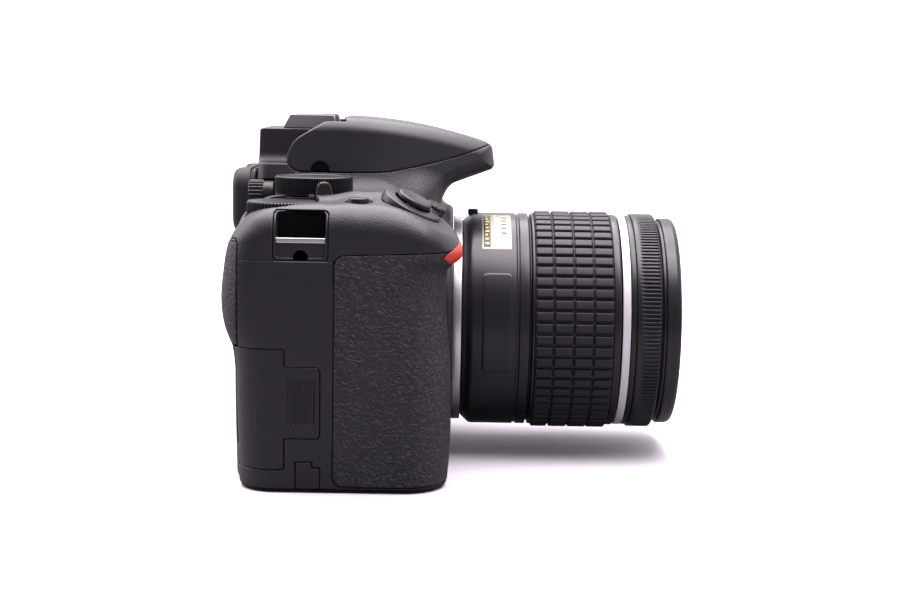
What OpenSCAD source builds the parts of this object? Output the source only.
// Digital SLR camera with a retractable zoom lens, modelled as an assembly.
// Frame: origin at the mouth of the tripod socket, +Z up, lens looks along -Y,
// the hand grip is on the -X side. Millimetres.

/* [Body] */
// Height of the lens axis above the base
axis_z = 38; // [37.6:0.1:38.6]
// Y position of the lens mount's front face
flange_y = -31.3; // [-31.6:0.1:-31]
// Wall thickness of the casings
wall = 2.2; // [1.8:0.1:2.4]
// Width of the joint lines between casings
seam = 0.1; // [0.06:0.02:0.16]
// Thickness of the rubber skins
skin = 1.1; // [0.9:0.1:1.2]

/* [Controls] */
// Radius of the mode dial
mode_r = 10.8; // [10:0.1:10.9]
// Radius of the command dial
command_r = 9.4; // [9:0.1:9.5]
// Radius of the power switch collar
collar_r = 8.3; // [7.8:0.1:8.5]
// Radius of the shutter button
release_r = 5.1; // [4.5:0.1:5.2]
// Tilt of the shutter button's axis towards the front
release_tilt = 27; // [26:0.5:28]
// Tilt of the shutter button's axis away from the lens
release_lean = 10; // [9:0.5:11]

/* [Lens] */
// Outer radius of the zoom ring's rubber
rubber_r = 32.2; // [32:0.1:32.4]
// Outer radius of the fixed barrel
barrel_r = 31.5; // [31.3:0.1:31.6]
// Length of the lens, retracted
lens_len = 62.5; // [62:0.1:63]
// Wall radius of the 55 mm filter thread
filter_r = 27.2; // [27:0.1:27.4]
// Number of grip blocks round the zoom ring
blocks = 44; // [36:2:52]

/* [Tripod socket] */
// Wall radius of the tapped hole
socket_r = 2.6; // [2.5:0.05:2.7]
// Depth of the tapped hole
socket_len = 5.5; // [5:0.1:6]

/* [Hidden] */
$fn = 64;

// Points on a circle about place, one every step degrees
function ring(place, r, step, start = 0) =
  [for (a = [start:step:359]) [place[0] + r * cos(a), place[1] + r * sin(a)]];

lens_axis = [0, axis_z];
lens_front_y = flange_y - lens_len;

// Where the casings meet
joint = seam / 2;
split_y = 24.6;
split_base_z = 3;
split_front_z = 61.5;
split_rear_z = 66.6;

// Depths below the outer form
skin_pocket = skin + seam;
lid_t = 1.4;
lid_pocket = 1.5;
accent_t = 1.1;
accent_pocket = 1.2;

// Hinge axes: [y, z] along X, [x, y] along Z, [x, z] along Y
flash_pin = [14.7, 87.1];
mirror_pin = [7, 52.6];
battery_pin = [15.8, 1.5];
monitor_pin = [50.5, 26];
card_pin = [-59.57, 26.07];
port_pin = [54.9, 8.4];
flap_pin = [-66.7, 3.4];

// Rounding of the flash head about its pin
flash_round = 4.8;
// The shoe tower, which the flash head straddles
tower_r = 15;
tower_half = 14.6;

// Shutter button's point on the sloping deck
release_pos = [-52, -17.1, 74.85];
// Axis of the parts drawn on the slope
slope_axis = [0, 0];
// Dials, [x, y]
mode_place = [-33, 10.3];
mode_seat_z = 75.2;
lever_angle = 197;
command_place = [-52, 17.3];
command_well_r = 9.8;
command_well_z = 71.2;
// Turned edges of the dials: bead radius
bead_r = 0.25;

// Buttons on top, [x, y, radius]
exposure_place = [-57, -3.4, 2.6];
record_place = [-45.5, -5.6, 2.2];
// Buttons in front, [x, z, radius]
release_place = [38, 30, 4.05];
fn_place = [42, 58, 2.55];
flash_place = [32, 65.8, 2.3];
// Buttons at the back, [x, z, radius]
play_place = [-34, 60, 2.9];
selector_place = [-39.5, 44.5, 9.8];
zoom_in_place = [-34, 27, 2.9];
zoom_out_place = [-34, 18.5, 2.9];
delete_place = [-34, 10, 2.9];
menu_place = [36, 64.6, 1.9];
button_gap = 0.15;

// Other fittings, [x, z]
lamp_place = [-24, 68.6];
diopter_place = [-21.6, 75.5];
retract_axis = [-41, axis_z]; // [y, z]

// Screws: mount [x, z], base [x, y]
mount_screws = ring(lens_axis, 27, 90, 45);
base_screws = [[45, 10], [45, -10], [-20, 16.5], [-20, -12], [20, 16.5], [20, -12]];

// ---------- helpers ----------
// Hull of balls at the points
module balls(points, r, fn = 20) {
  hull() for (p = points) translate(p) sphere(r = r, $fn = fn);
}

// Box between two opposite corners
module box(low, high) {
  translate(low) cube([high[0] - low[0], high[1] - low[1], high[2] - low[2]]);
}

// Cylinders along one axis; place holds the other two coordinates
module cyl_x(place, x0, x1, r) {
  translate([x0, place[0], place[1]]) rotate([0, 90, 0]) cylinder(r = r, h = x1 - x0);
}
module cyl_y(place, y0, y1, r) {
  translate([place[0], y0, place[1]]) rotate([-90, 0, 0]) cylinder(r = r, h = y1 - y0);
}
module cyl_z(place, z0, z1, r) {
  translate([place[0], place[1], z0]) cylinder(r = r, h = z1 - z0);
}

module tube_y(place, y0, y1, r, bore_r) {
  difference() {
    cyl_y(place, y0, y1, r);
    cyl_y(place, y0 - 1, y1 + 1, bore_r);
  }
}

// Turned part about the lens axis from [radius, y] points
module turned(points) {
  translate([0, 0, axis_z]) rotate([-90, 0, 0]) rotate_extrude($fn = 128) polygon(points);
}

// [y, z] outline extruded from x0 to x1
module yz_slab(outline, x0, x1) {
  translate([x0, 0, 0]) rotate([90, 0, 90]) linear_extrude(x1 - x0) polygon(outline);
}

// Places children on the sloping deck, +Z out of it
module on_slope() {
  translate(release_pos) rotate([release_tilt, -release_lean, 0]) children();
}

// Three bayonet tabs, facing back from y
module bayonet_tabs(y, turn, sweep, r0, r1, len) {
  for (a = [0, 120, 240])
    translate([0, y, axis_z]) rotate([-90, 0, 0]) rotate([0, 0, a + turn])
      rotate_extrude(angle = sweep) polygon([[r0, 0], [r1, 0], [r1, len], [r0, len]]);
}

// Blocks spaced evenly about the lens axis
module spokes(count, y, r, size) {
  for (i = [0:count - 1])
    translate([0, y, axis_z]) rotate([0, i * 360 / count, 0]) translate([r, 0, 0])
      cube(size, center = true);
}

// Makes the children one mesh
module meshed() resize([0, 0, 0]) children();

// ---------- outer form ----------
// inset moves every surface of these inwards
module core_form(inset) {
  plan = [[-50, -15], [45, -15], [51, -8], [51, 15], [45, 22.5], [-50, 22.5]];
  balls([for (p = plan) for (z = [4.4, 68]) [p[0], p[1], z]], 5 - inset);
}

module grip_form(inset) {
  // [x, y] round the foot of the grip
  foot = [[-62, -11], [-58.5, -19], [-53, -22.3], [-47, -22.3], [-43.5, -18],
    [-41, -8], [-38, 22.5], [-56, 22.5], [-62, 15]];
  // [x, y, z] round its top
  head = [[-62, -11, 60], [-58, -19, 61], [-53, -25, 62.3], [-45, -25, 62.3],
    [-54, -20.7, 66.4], [-44, -20.7, 66.4], [-55.5, -7, 69.9], [-40, -7, 71.4],
    [-56.5, 15, 68], [-40, 16, 69.2], [-61.8, -6, 66], [-61.8, 13, 65],
    [-56, 22.5, 60], [-38, 22.5, 60]];
  balls(concat([for (p = foot) [p[0], p[1], 5.4]], head), 6 - inset);
}

module deck_form(inset) {
  section = [[-8, 72.4], [18, 70.4], [-8, 55], [20, 55]]; // [y, z]
  balls([for (x = [-46, -14]) for (p = section) [x, p[0], p[1]]], 4 - inset);
}

module hump_form(inset) {
  // [half width, y, z]
  half = [[12.5, 23.5, 89.5], [22, 22.5, 70], [13.5, 4, 93.6], [16.4, 4, 86],
    [15.5, 14, 88.5], [11, -15, 92.6], [9, -26, 90.4], [7, -35, 86.6],
    [8, -34.8, 85], [14, -22, 80.5], [21, -12, 70]];
  balls([for (s = [-1, 1]) for (p = half) [s * p[0], p[1], p[2]]], 4 - inset);
}

// Round boss behind the lens mount
module boss_form(inset) cyl_y(lens_axis, flange_y + 2.6 + inset, -8, 33.5 - inset);

// Slopes between boss and hump
module brow_form(inset) {
  // [half width, y, z]
  half = [[28, -14, 64], [19, -20.2, 68], [11, -20.8, 74.5], [17, -8, 76]];
  balls([for (s = [-1, 1]) for (p = half) [s * p[0], p[1], p[2]]], 4.2 - inset);
}

// [y, z] points on the flash head's round end
function flash_arc(angles, gap = 0) = [for (a = angles)
  [flash_pin[0] + (flash_round - gap) * cos(a), flash_pin[1] + (flash_round - gap) * sin(a)]];

// Flanks beside the shoe tower, and the flat the shoe stands on
module relief(inset) {
  len = 30;
  behind = [[flash_pin[0] + flash_round, 84.8], [50, 84.8], [50, 120], [2.6, 120], [2.6, 98.6]];
  for (x = [-tower_half - len + inset, tower_half - inset])
    translate([x, 0, 0]) rotate([90, 0, 90]) linear_extrude(len)
      offset(delta = inset) polygon(concat(behind, flash_arc([58:-10:0])));
  intersection() {
    box([-14.8, 1, 94 - inset], [14.8, 50, 120]);
    cyl_x(flash_pin, -20, 20, tower_r + 0.1);
  }
}

module form(inset) {
  difference() {
    union() {
      core_form(inset);
      grip_form(inset);
      deck_form(inset);
      hump_form(inset);
      boss_form(inset);
      brow_form(inset);
    }
    // the flat base
    box([-80, -60, -20], [80, 60, inset == 0 ? 0 : inset - 0.6]);
    relief(inset);
  }
}

// Outermost layer of the form
module layer(thickness) {
  difference() {
    form(0);
    form(thickness);
  }
}

// Sinks the children's region into the form to a depth
module pocket(depth) {
  difference() {
    children();
    form(depth);
  }
}

// ---------- regions ----------
// A gap grows the region, except the flash head's, which it shrinks.
// X 80, Y 60 and Z 120 lie beyond the body.
module flash_region(gap) {
  yz_slab(concat(
    [[-50, 93.3 + gap], [-38, 90.1 + gap], [-9, 82.3 + gap], [flash_pin[0], 82.3 + gap]],
    flash_arc([-80:10:50], gap), flash_arc([58], gap),
    [[2.6 - gap, 98.6], [2.6 - gap, 120], [-50, 120]]), -30, 30);
}

module rear_region() {
  box([-80, split_y + joint, split_base_z + joint], [80, 60, split_rear_z - joint]);
}

module top_region() {
  difference() {
    box([-80, -60, split_front_z + joint], [80, 60, 120]);
    box([-80, split_y - joint, 0], [80, 60, split_rear_z + joint]);
  }
}

module front_region() {
  box([-80, -60, split_base_z + joint], [80, split_y - joint, split_front_z - joint]);
}

// Recess for the monitor
module recess() box([-25.5, 20.8, 4.5], [80, 60, 60.5]);

module mount_hole() cyl_y(lens_axis, -60, -8, 24.6);

// Side and front of the grip
module rubber_region(gap) {
  intersection() {
    box([-80, -60, 2.9 - gap], [-38.6 + gap, 2.2 + gap, 64.4 + gap]);
    yz_slab([[-60, -10], [2.2 + gap, -10], [2.2 + gap, 62 + gap], [-0.4 + gap, 64.4 + gap],
      [-26 - gap, 64.4 + gap], [-60, 64.4 + gap]], -90, -30);
  }
}

module thumb_region(gap) {
  box([-67.2 - gap, 24.66 - gap, 38.6 - gap], [-51.5 + gap, 60, 65.8 + gap]);
}

module door_region(gap) {
  translate([0, 0, 6.2 - gap]) linear_extrude(32 + 2 * gap)
    polygon([[-63 + gap, 29.5 + gap], [-58.2 + gap, 24.7 + gap], [-60, 15.1 - gap],
      [-80, 15.1 - gap], [-80, 29.5 + gap]]);
  box([-80, 5.7 - gap, 14.6 - gap], [-60, 16, 33.5 + gap]);
}

module flap_region() box([-80, 5.6 - seam, 2.6 - seam], [-63, 12 + seam, 8.3 + seam]);
module port_region() box([52, -7.6 - seam, 11 - seam], [80, 9.8 + seam, 53 + seam]);

// Strap lugs: on the grip side and on the far side
module grip_lug_region(gap) {
  box([-80, 3.8 - gap, 61.6 - gap], [-60.6 + gap, 18.1 + gap, 74.3 + gap]);
}
module far_lug_region(gap) {
  box([50.4 - gap, 2 - gap, 57.6 - gap], [80, 14 + gap, 68.4 + gap]);
}

module battery_door_plan() {
  polygon([[-61.4, -10.5], [-58, -18], [-53, -21.6], [-47.2, -21.6], [-44.2, -17.6],
    [-44.2, 14.6], [-61.4, 14.6]]);
}
module battery_opening() {
  translate([0, 0, -5]) linear_extrude(8) offset(delta = 0.15) battery_door_plan();
}

module accent_region(gap) {
  yz_slab([[-25.4 + gap, 62.2 - gap], [-40, 58.4 - gap], [-40, 66.6 + gap],
    [-30, 66.6 + gap]], -47.5 - gap, -37.5 + gap);
}

// ---------- cuts shared by casings ----------
module rubber_cut() pocket(skin_pocket) rubber_region(seam);
module thumb_cut() pocket(skin_pocket) thumb_region(seam);
module accent_cut() pocket(accent_pocket) accent_region(0.1);
module flap_cut() {
  pocket(lid_pocket) flap_region();
  cyl_y(flap_pin, 5, 12.6, 1.1, $fn = 24);
}
module card_door_cut() {
  pocket(lid_pocket) door_region(seam);
  cyl_z(card_pin, 6, 38.4, 1.35, $fn = 24);
  cyl_z(card_pin, 5.1, 38.4, 0.45, $fn = 24);
}
module lug_cuts() {
  grip_lug_region(0.1);
  far_lug_region(0.1);
}
module flash_pin_hole() cyl_x(flash_pin, -30, 30, 1.3);
module command_well() cyl_z(command_place, command_well_z, 90, command_well_r);

// ---------- casings ----------
module front_cover() {
  color("#2b2b2e") meshed() difference() {
    intersection() {
      layer(wall);
      front_region();
    }
    mount_hole();
    recess();
    // room for the monitor hinge
    box([46.4, 20, 4.2], [54.6, 40, 60.8]);
    rubber_cut();
    thumb_cut();
    accent_cut();
    card_door_cut();
    flap_cut();
    pocket(1.6) port_region();
    // opening behind the port cover
    box([50, -5, 14], [80, 6, 50]);
    cyl_z(port_pin, 10.5, 53.5, 1.25, $fn = 24);
    lug_cuts();
    battery_opening();
    for (b = [release_place, fn_place]) cyl_y(b, -60, 0, b[2] + button_gap);
  }
}

module rear_cover() {
  hinge_x = monitor_pin[0];
  // z ranges of the hinge knuckles
  knuckles = [[4.5, 9.7], [55.3, 60.5]];
  color("#2b2b2e") meshed() difference() {
    union() {
      intersection() {
        layer(wall);
        rear_region();
      }
      // walls round the monitor recess
      intersection() {
        union() {
          form(wall + 0.1);
          intersection() {
            form(0.6);
            box([-80, 24.65, 3.05], [80, 40, 62]);
          }
        }
        difference() {
          box([-27.6, 18.8, 3.2], [53.6, 25.9, 61.9]);
          recess();
        }
      }
      for (z = knuckles) {
        cyl_z(monitor_pin, z[0], z[1], 3, $fn = 32);
        box([hinge_x - 3, 20.7, z[0]], [hinge_x + 3, monitor_pin[1], z[1]]);
      }
    }
    // the recess, sparing the knuckles
    difference() {
      recess();
      for (z = [[4.4, 9.7], [55.3, 60.6]])
        box([hinge_x - 4, 20, z[0]], [hinge_x + 3.01, 30, z[1]]);
    }
    thumb_cut();
    card_door_cut();
    cyl_z(monitor_pin, 0, 70, 1.1, $fn = 24);
    for (b = [play_place, selector_place, zoom_in_place, zoom_out_place, delete_place, menu_place])
      cyl_y(b, 20, 40, b[2] + button_gap);
  }
}

// Fixed tower of the hump, which carries the shoe
module tower() {
  difference() {
    intersection() {
      form(0.03);
      box([-14.55, -1, 80.2], [14.55, 25, 96]);
      cyl_x(flash_pin, -20, 20, tower_r);
    }
    intersection() {
      box([-12.4, -20, 60], [12.4, 60, 91.8]);
      cyl_x(flash_pin, -20, 20, tower_r - 2);
    }
    // opening under the hot shoe
    box([-9.1, 6.9, 80], [9.1, 20.6, 120]);
    flash_pin_hole();
  }
}

module top_cover() {
  color("#2b2b2e") meshed() union() {
    tower();
    difference() {
      union() {
        intersection() {
          layer(wall);
          top_region();
        }
        // floor of the flash well
        intersection() {
          form(0.05);
          yz_slab([[-45, 89.75], [-38, 87.9], [-9, 80.1], [25, 80.1], [25, 82.3],
            [-9, 82.3], [-38, 90.1], [-45, 92]], -26, 26);
          box([-26, -45, 75], [26, 20, 100]);
        }
        // seat of the mode dial
        cyl_z(mode_place, 72.4, mode_seat_z, 11.6);
      }
      flash_region(-0.04);
      // room for the tower
      box([-14.4, 2, 82], [14.4, 22, 120]);
      // mode dial and the slot for its lever
      cyl_z(mode_place, 60, 90, 4.3);
      cyl_z(mode_place, mode_seat_z, 90, 11.35);
      translate([mode_place[0], mode_place[1], mode_seat_z]) rotate([0, 0, lever_angle])
        translate([9, -2.6, 0]) cube([5.2, 9, 15]);
      command_well();
      cyl_z(command_place, 60, 90, 2.2);
      // collar seat and stem hole of the shutter button
      on_slope() {
        cyl_z(slope_axis, -1.2, 18.8, 8.7);
        cyl_z(slope_axis, -14, 6, 3);
      }
      for (b = [exposure_place, record_place]) cyl_z(b, 60, 90, b[2] + button_gap);
      // eyepiece opening
      box([-11, 18, 69.5], [11, 40, 81.5]);
      cyl_y(diopter_place, 22.2, 40, 4.3);
      thumb_cut();
      rubber_cut();
      accent_cut();
      lug_cuts();
      mount_hole();
      cyl_y(lamp_place, -60, 0, 2.45);
      cyl_y(flash_place, -60, 0, flash_place[2] + button_gap);
      flash_pin_hole();
    }
  }
}

module base_cover() {
  color("#2b2b2e") meshed() difference() {
    union() {
      intersection() {
        layer(wall);
        box([-80, -60, -1], [80, 60, split_base_z - joint]);
      }
      // rib over the battery door's hinge
      box([-63.2, 13.4, 1.5], [-42.4, 18.4, 2.9]);
      // bosses of the tripod socket and the screws
      cyl_z([0, 0], 0, 2.95, 8);
      for (p = base_screws) cyl_z(p, 0.9, 2.95, 3);
    }
    cyl_z([0, 0], -1, 9, 5.6);
    battery_opening();
    rubber_cut();
    flap_cut();
    for (p = base_screws) {
      cyl_z(p, -1, 9, 1.1);
      cyl_z(p, -1, 1.2, 2.3);
    }
    // battery door hinge: knuckle, pin and slot
    cyl_x(battery_pin, -61.6, -44, 1.45);
    cyl_x(battery_pin, -62.8, -42.8, 0.62);
    box([-61.6, 14.3, -1], [-44, 17.4, 1.5]);
  }
}

module grip_rubber() {
  color("#1d1d20") meshed() difference() {
    intersection() {
      layer(skin);
      rubber_region(0);
    }
    accent_region(0.1);
  }
}

module thumb_rubber() {
  color("#1d1d20") meshed() union() {
    intersection() {
      layer(skin);
      thumb_region(0);
    }
    // raised thumb rest
    intersection() {
      pocket(0.5) balls([for (x = [-63, -55]) for (z = [43, 61]) [x, 26.6, z]], 5.6, 24);
      thumb_region(0);
    }
  }
}

module grip_accent() {
  color("#c8261e") meshed() intersection() {
    layer(accent_t);
    accent_region(0);
  }
}

// ---------- mount, screws and mirror box ----------
module mount_ring() {
  color("silver") difference() {
    union() {
      tube_y(lens_axis, flange_y, flange_y + 2.5, 30.4, 23.6);
      tube_y(lens_axis, flange_y + 2.5, flange_y + 4.8, 24.4, 23.6);
      bayonet_tabs(y = flange_y, turn = 0, sweep = 58, r0 = 21.9, r1 = 23.7, len = 2);
    }
    for (p = mount_screws) {
      cyl_y(p, flange_y - 1, flange_y + 5, 1.1);
      cyl_y(p, flange_y - 1, flange_y + 1.2, 2.1);
    }
  }
}

// Cross-headed screws of the mount and the base
module case_screws() {
  slot_len = 2.4;
  slot_w = 0.5;
  slot_deep = 1.1;
  color("#3c3c40") {
    for (p = mount_screws) difference() {
      union() {
        cyl_y(p, flange_y + 0.05, flange_y + 1.15, 2);
        cyl_y(p, flange_y + 1, flange_y + 2.55, 1);
      }
      for (size = [[slot_len, slot_deep, slot_w], [slot_w, slot_deep, slot_len]])
        translate([p[0], flange_y + 0.5, p[1]]) cube(size, center = true);
    }
    for (p = base_screws) difference() {
      union() {
        cyl_z(p, 0.2, 1.15, 2.1);
        cyl_z(p, 1, 7, 1);
      }
      for (size = [[slot_len, slot_w, slot_deep], [slot_w, slot_len, slot_deep]])
        translate([p[0], p[1], 0.4]) cube(size, center = true);
    }
  }
}

module mirror_box() {
  color("#18181a") difference() {
    union() {
      box([-21.5, -26.2, 20.5], [21.5, 13, 57]);
      box([-24, 6, 24], [24, 8, 54]);
    }
    // front opening, chamber and top opening
    cyl_y(lens_axis, -40, -24.2, 21);
    box([-19.5, -24.4, 22.5], [19.5, 9.2, 55]);
    box([-15, -21, 50], [15, 5.4, 60]);
    // shutter slot and image gate
    box([-14, 9.15, 15], [14, 10.6, 52]);
    box([-12.2, 5, 31], [12.2, 20, 47]);
    cyl_x(mirror_pin, -30, 30, 0.85);
  }
}

module reflex_mirror() {
  color("#d5dbe0") union() {
    translate([0, mirror_pin[0], mirror_pin[1]]) rotate([45, 0, 0])
      translate([-15, -27.5, -0.4]) cube([30, 27.5, 1.4]);
    cyl_x(mirror_pin, -21, 21, 0.8);
  }
}

// Four blades; each but the last reaches the one above
module shutter_curtain() {
  pitch = 4.55;
  color("#0e0e10") for (i = [0:3])
    box([-13.6, 9.5, 30 + i * pitch], [13.6, 10.2, 34.5 + i * pitch + (i < 3 ? 0.05 : 0)]);
}

module sensor_unit() {
  color("#2f4a3a") difference() {
    union() {
      box([-15, 13.4, 28.5], [15, 16.6, 49.5]);
      box([-20.5, 16.5, 22], [20.5, 18, 56]);
    }
    box([-11.9, 12, 31.2], [11.9, 14.2, 46.8]);
  }
}

// Focusing screen and roof mirror housing
module pentaprism() {
  color("#1a1a1c") union() {
    box([-14.8, -20.8, 57.2], [14.8, 5.2, 58.7]);
    yz_slab([[-20, 58.7], [6, 58.7], [16.5, 68], [16.5, 77.5], [8, 79.6], [-9, 79.6],
      [-20, 70]], -14.5, 14.5);
  }
}

module eyepiece_lens() {
  color("#9fb4c0") box([-9.6, 18.6, 70.4], [9.6, 21.4, 80.6]);
}

module main_board() {
  color("#1f5a3a") union() {
    box([25, -3.6, 6], [52.6, -2, 60]);
    // three blocks at the outer edge, then two flat ones
    for (z = [16, 27, 38.5]) box([45.5, -2, z], [53.2, 3.6, z + 7.5]);
    box([28, -2, 10], [41, -0.8, 23]);
    box([28, -2, 30], [42, -0.6, 44]);
  }
}

module battery() {
  color("#3a3a3e") box([-60.8, -19.4, 3.6], [-46.8, 17, 56.4]);
}

// Card with one corner cut off
module memory_card() {
  color("#2b3a66") difference() {
    box([-60, 17.4, 12], [-28, 19.5, 36]);
    translate([-28, 16, 36]) rotate([0, 45, 0]) translate([-2.5, 0, -2.5]) cube([5, 5, 5]);
  }
}

// Children: block, hollow in it, bar across the hollow
module lug_part() {
  difference() {
    intersection() {
      form(0.25);
      union() {
        difference() {
          children(0);
          children(1);
        }
        children(2);
      }
    }
    command_well();
  }
}

module strap_lugs() {
  color("#55555a") meshed() {
    lug_part() {
      grip_lug_region(-0.05);
      union() {
        box([-80, 4.6, 66.6], [-61.6, 17.3, 73.6]);
        box([-80, 4.6, 62.2], [-66.6, 17.3, 66.7]);
        cyl_x([11, 62.2], -90, -60, 2.1);
      }
      box([-67.3, 3.9, 65.9], [-65.9, 18.0, 67.4]);
    }
    lug_part() {
      far_lug_region(-0.05);
      box([51.2, 2.8, 58.4], [80, 13.2, 80]);
      box([54, 2.05, 62.2], [55.2, 13.95, 63.7]);
    }
  }
}

// ---------- fittings ----------
module hot_shoe() {
  color("#6a6a70") difference() {
    union() {
      box([-10.8, 5.6, 94.1], [10.8, 21.3, 94.9]);
      // side rails and their lips
      for (s = [-1, 1]) {
        box([s * 10.05 - 0.75, 5.6, 94.1], [s * 10.05 + 0.75, 21.3, 97.9]);
        box([s * 8.55 - 2.25, 5.6, 96.95], [s * 8.55 + 2.25, 21.3, 97.9]);
      }
      box([-9, 7, 93.2], [9, 20.5, 94.2]);
    }
    cyl_z([0, 12], 94.5, 99, 1.6);
    for (x = [-5, 5]) cyl_z([x, 17.5], 94.5, 99, 1.1);
  }
}

module af_lamp() {
  color("#c8c8cc") cyl_y(lamp_place, -22.3, -14, 2.35);
}

module tripod_socket() {
  color("silver") difference() {
    union() {
      cyl_z([0, 0], 0, 7.5, 5.5);
      cyl_z([0, 0], 3, 4.6, 10);
    }
    cyl_z([0, 0], -1, socket_len, socket_r);
  }
}

// Pins of the flash, monitor, battery door, port cover and power flap
module hinge_pins() {
  color("#8a8a90") {
    for (x = [-14.9, 14.9]) cyl_x(flash_pin, x - 3, x + 3, 1.2);
    cyl_z(monitor_pin, 5, 60, 1);
    cyl_x(battery_pin, -62.2, -43.4, 0.6);
    cyl_z(port_pin, 11.2, 52.8, 0.45);
    cyl_y(flap_pin, 5.8, 11.8, 0.4);
  }
}

module eyecup() {
  color("#161618") difference() {
    union() {
      translate([0, 0, 74.1]) rotate([-90, 0, 0]) translate([0, 0, 28.4])
        linear_extrude(6.8) offset(r = 5) square([24.6, 8.8], center = true);
      box([-14.5, 27.7, 68.4], [14.5, 28.5, 82.6]);
    }
    translate([0, 0, 75.5]) rotate([-90, 0, 0]) translate([0, 0, 20])
      linear_extrude(30) offset(r = 3) square([15, 5], center = true);
  }
}

module diopter_wheel() {
  color("#202022") union() {
    cyl_y(diopter_place, 22.6, 29.6, 3.85);
    for (p = ring(diopter_place, 3.8, 20)) cyl_y(p, 25.4, 29.4, 0.3);
  }
}

// ---------- flash ----------
// Clearance round the shoe tower
module tower_space() cyl_x(flash_pin, -14.95, 14.95, tower_r + 0.15);

// Places children on the sloping floor of the flash head
module on_flash_floor() {
  translate([0, -33, 88.9]) rotate([-15.1, 0, 0]) children();
}

module flash_shell() {
  color("#2d2d31") meshed() difference() {
    intersection() {
      difference() {
        form(0);
        intersection() {
          form(1.8);
          box([-30, -36, 84.5], [30, 9, 120]);
        }
      }
      difference() {
        flash_region(0.2);
        tower_space();
      }
    }
    cyl_x(flash_pin, -40, 40, 1.25);
  }
}

module flash_floor() {
  color("#2d2d31") meshed() difference() {
    intersection() {
      form(1.75);
      yz_slab([[-36, 89.75], [-9, 82.5], [3, 82.5], [3, 84.1], [-9, 84.1], [-36, 91.3]],
        -30, 30);
    }
    tower_space();
    on_flash_floor() translate([-10.05, 2.95, -2]) cube([20.1, 15.1, 5]);
  }
}

module flash_head() {
  flash_shell();
  flash_floor();
}

module flash_window() {
  color("#d8d8d8") on_flash_floor() translate([-10, 3, 0.35]) cube([20, 15, 1.2]);
}

// ---------- top controls ----------
module shutter_button() {
  color("#3a3a3e") on_slope() {
    cyl_z(slope_axis, 1.6, 3.1, release_r - 0.35);
    cyl_z(slope_axis, -8, 2, 1.4);
  }
}

module power_switch() {
  color("#242427") on_slope() difference() {
    union() {
      cyl_z(slope_axis, -1.05, 1.45, collar_r);
      translate([4.2, -9.4, 0.35]) cube([3.6, 4, 2.4]);
    }
    cyl_z(slope_axis, -10, 10, release_r + 0.8);
  }
}

// Disc with a beaded edge; disc_z and bead_z are [bottom, top]
module beaded_disc(place, r, disc_z, bead_z, step) {
  cyl_z(place, disc_z[0], disc_z[1], r - bead_r);
  for (p = ring(place, r - bead_r, step)) cyl_z(p, bead_z[0], bead_z[1], bead_r);
}

module mode_dial() {
  color("#1b1b1d") difference() {
    union() {
      beaded_disc(mode_place, mode_r, disc_z = [76.5, 81.6], bead_z = [76.8, 81.2], step = 7.5);
      cyl_z(mode_place, 68, 77, 3.4);
    }
    cyl_z(mode_place, 81.3, 84, mode_r - 1.6);
  }
}

// Plate under the mode dial with a tab outside it
module live_view_lever() {
  plate_z = 75.3;
  plate_top = 76.3;
  color("#1b1b1d") difference() {
    union() {
      cyl_z(mode_place, plate_z, plate_top, 10.6);
      translate([mode_place[0], mode_place[1], plate_z]) rotate([0, 0, lever_angle])
        translate([9.8, -2.2, 0]) cube([3.9, 4.4, 5]);
      cyl_z(mode_place, 69, 76, 4.1);
    }
    cyl_z(mode_place, 60, 90, 3.45);
    cyl_z(mode_place, plate_top, 90, 11.15);
  }
}

module command_dial() {
  color("#1b1b1d") union() {
    beaded_disc(command_place, command_r, disc_z = [71.6, 75.9], bead_z = [71.8, 75.6], step = 9);
    cyl_z(command_place, 67.5, 72, 2.1);
  }
}

// Flanged button with its top at z
module top_button(place, z) {
  cyl_z(place, z - 9, z, place[2]);
  cyl_z(place, z - 9, z - 8, place[2] + 0.6);
}

module exposure_button() {
  color("#3a3a3e") top_button(exposure_place, 77.7);
}

module record_button() {
  color("#3a3a3e") top_button(record_place, 78.2);
}

// ---------- rear controls ----------
// Flanged button with its face at y
module rear_button(place, y) {
  cyl_y(place, y - 5, y, place[2]);
  cyl_y(place, y - 5, y - 4.2, place[2] + 0.6);
}

module menu_button() {
  color("#2a2a2d") rear_button(menu_place, 28.3);
}

module play_button() {
  color("#2a2a2d") rear_button(play_place, 29.3);
}

module zoom_in_button() {
  color("#2a2a2d") rear_button(zoom_in_place, 29.3);
}

module zoom_out_button() {
  color("#2a2a2d") rear_button(zoom_out_place, 29.3);
}

module delete_button() {
  color("#2a2a2d") rear_button(delete_place, 29.3);
}

module selector_pad() {
  color("#222225") difference() {
    cyl_y(selector_place, 25, 29.4, selector_place[2]);
    cyl_y(selector_place, 20, 40, 3.5);
  }
}

module ok_button() {
  color("#2a2a2d") cyl_y(selector_place, 24.6, 29.7, 3.05);
}

// ---------- front controls ----------
// Button and the flange behind the casing; each range is [front, back]
module front_button(place, button_y, flange_span, flange_r) {
  cyl_y(place, button_y[0], button_y[1], place[2]);
  cyl_y(place, flange_span[0], flange_span[1], flange_r);
}

module fn_button() {
  color("#2a2a2d") front_button(fn_place, [-20.9, -16.8], [-17.4, -16.6], 3.1);
}

module flash_button() {
  color("#2a2a2d") front_button(flash_place, [-20.9, -16.4], [-17.1, -16.3], 2.9);
}

module lens_release() {
  color("#2a2a2d") front_button(release_place, [-23.4, -16.8], [-17.4, -16.2], 4.8);
}

// ---------- monitor ----------
// [y, z] of the swivel between arm and panel
swivel = [25.2, 32.5];

module monitor_arm() {
  color("#262629") difference() {
    union() {
      cyl_z(monitor_pin, 9.85, 55.15, 3);
      box([46.2, 24.6, 10.6], [monitor_pin[0], 27.6, 54.4]);
      cyl_x(swivel, 38, 46.4, 2);
    }
    cyl_z(monitor_pin, 0, 70, 1.05);
  }
}

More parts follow.
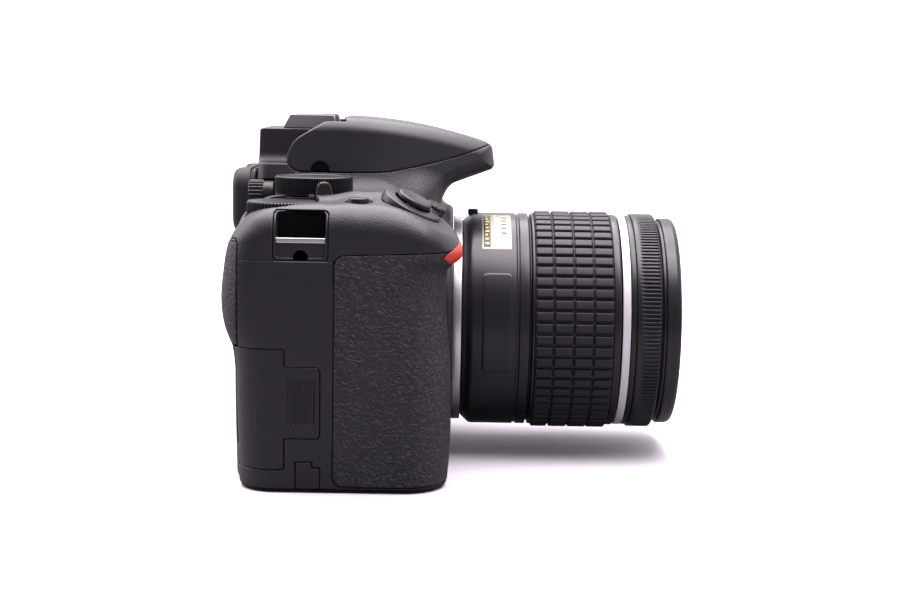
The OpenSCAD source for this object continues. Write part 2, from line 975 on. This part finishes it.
module monitor_panel() {
  back_y = 28.5;
  low_z = 5.2;
  high_z = 59.8;
  color("#232326") difference() {
    box([-24.6, 21.3, low_z], [46, back_y, high_z]);
    cyl_x(swivel, 37.5, 50, 2.05);
    box([-20.5, 27.2, 9.2], [41.5, 40, 57]);
    // chamfers of the long back edges
    for (z = [low_z, high_z])
      translate([0, back_y, z]) rotate([45, 0, 0]) cube([200, 1.4, 1.4], center = true);
  }
}

module monitor_screen() {
  color("#0b0c0f") box([-20.4, 27.3, 9.3], [41.4, 28.4, 56.9]);
}

// ---------- doors ----------
module card_hinge() {
  color("#77777c") cyl_z(card_pin, 5.2, 38.3, 0.4);
}

module card_door() {
  color("#2b2b2e") meshed() difference() {
    union() {
      intersection() {
        layer(lid_t);
        door_region(0);
      }
      cyl_z(card_pin, 6.3, 38.1, 0.9, $fn = 24);
    }
    cyl_z(card_pin, 0, 60, 0.45, $fn = 24);
    // five upright grooves
    for (i = [0:4]) box([-69, 7.6 + i * 1.3, 18.5], [-67.75, 8.1 + i * 1.3, 30]);
  }
}

module battery_door() {
  door_t = 1.5;
  color("#2b2b2e") difference() {
    union() {
      linear_extrude(door_t) battery_door_plan();
      box([-61, 13, 0.35], [-44.6, battery_pin[0], door_t]);
      cyl_x(battery_pin, -61, -44.6, 1.15);
    }
    cyl_x(battery_pin, -70, -40, 0.65);
  }
}

module port_cover() {
  color("#1f1f22") difference() {
    union() {
      box([54.5, -7.5, 11.2], [55.98, port_pin[1], 52.8]);
      cyl_z(port_pin, 11.2, 52.8, 1);
    }
    cyl_z(port_pin, 0, 60, 0.5);
  }
}

module power_flap() {
  color("#1f1f22") meshed() difference() {
    union() {
      intersection() {
        layer(lid_t);
        box([-80, 5.7, 3.3], [-63, 11.9, 8.2]);
      }
      cyl_y(flap_pin, 5.7, 11.9, 0.85, $fn = 24);
    }
    cyl_y(flap_pin, 0, 20, 0.45, $fn = 24);
  }
}

// ---------- lens ----------
module lens_barrel() {
  color("#1c1c1e") difference() {
    union() {
      turned([[19.4, flange_y + 4.5], [21.7, flange_y + 4.5], [21.7, flange_y - 0.05],
        [29.2, flange_y - 0.05], [29.2, flange_y - 0.4], [barrel_r, flange_y - 3.6],
        [barrel_r, -50.6], [30.2, -50.6], [30.2, -51.3], [29, -51.3], [29, -74], [28, -74],
        [28, flange_y - 2], [19.4, flange_y - 2]]);
      bayonet_tabs(y = flange_y + 2.3, turn = 2, sweep = 54, r0 = 21.5, r1 = 23.2, len = 1.7);
      // mounting index ridge
      translate([0, -36.4, axis_z + barrel_r - 0.4]) cube([2.4, 4.4, 1.8], center = true);
    }
    // groove round the barrel
    tube_y(lens_axis, -47.9, -47.2, 40, barrel_r - 0.5);
    cyl_x(retract_axis, 0, 40, 3.65);
  }
}

module retract_button() {
  color("#262628") cyl_x(retract_axis, 28.9, 32.4, 3.55);
}

module zoom_ring() {
  color("#1c1c1e") turned([[29.1, -51.4], [barrel_r, -51.4], [barrel_r, -52.2],
    [30.6, -52.2], [30.6, -74.6], [barrel_r, -74.6], [barrel_r, -76.6], [29.1, -76.6]]);
}

// Sleeve cut into blocks by lengthwise slots and three round grooves
module zoom_rubber() {
  color("#161618") difference() {
    turned([[30.65, -52.3], [rubber_r, -52.3], [rubber_r, -74.5], [30.65, -74.5]]);
    for (y = [-57.5, -63.2, -68.8]) tube_y(lens_axis, y - 0.3, y + 0.3, 40, rubber_r - 0.7);
    spokes(blocks, y = -63.4, r = rubber_r, size = [1.4, 20.6, 1.2]);
  }
}

module inner_barrel() {
  color("#1a1a1c") turned([[24, -40], [27.9, -40], [27.9, -77], [31.2, -77], [31.2, -80.9],
    [29, -80.9], [29, -88.6], [24, -88.6], [24, -84], [26, -84], [26, -44], [24, -44]]);
}

module focus_ring() {
  color("#1c1c1e") difference() {
    turned([[29.1, -81], [31.8, -81], [31.8, -86.6], [30.4, -88.2], [29.1, -88.2]]);
    spokes(90, y = -85.3, r = 32, size = [1, 4.2, 0.9]);
  }
}

module filter_ring() {
  color("#19191b") turned([[filter_r, lens_front_y], [30.2, lens_front_y],
    [30.6, lens_front_y + 0.6], [30.6, -89.6], [29.6, -89.6], [29.6, -88.7], [24, -88.7],
    [24, -89.3], [filter_r, -89.3]]);
}

// Disc with a domed front face
module front_lens() {
  color("#2a3550") intersection() {
    cyl_y(lens_axis, -89.2, -84.1, 23.9);
    translate([0, -39, axis_z]) sphere(r = 50.1);
  }
}

front_cover();
rear_cover();
top_cover();
base_cover();
grip_rubber();
thumb_rubber();
grip_accent();
mount_ring();
case_screws();
mirror_box();
pentaprism();
eyepiece_lens();
sensor_unit();
main_board();
battery();
memory_card();
strap_lugs();
hot_shoe();
tripod_socket();
af_lamp();
hinge_pins();
reflex_mirror();
shutter_curtain();
diopter_wheel();
eyecup();
flash_head();
flash_window();
shutter_button();
power_switch();
mode_dial();
live_view_lever();
command_dial();
record_button();
exposure_button();
menu_button();
play_button();
selector_pad();
ok_button();
zoom_in_button();
zoom_out_button();
delete_button();
fn_button();
flash_button();
lens_release();
monitor_arm();
monitor_panel();
monitor_screen();
card_hinge();
card_door();
battery_door();
port_cover();
power_flap();
lens_barrel();
zoom_ring();
zoom_rubber();
inner_barrel();
focus_ring();
filter_ring();
front_lens();
retract_button();
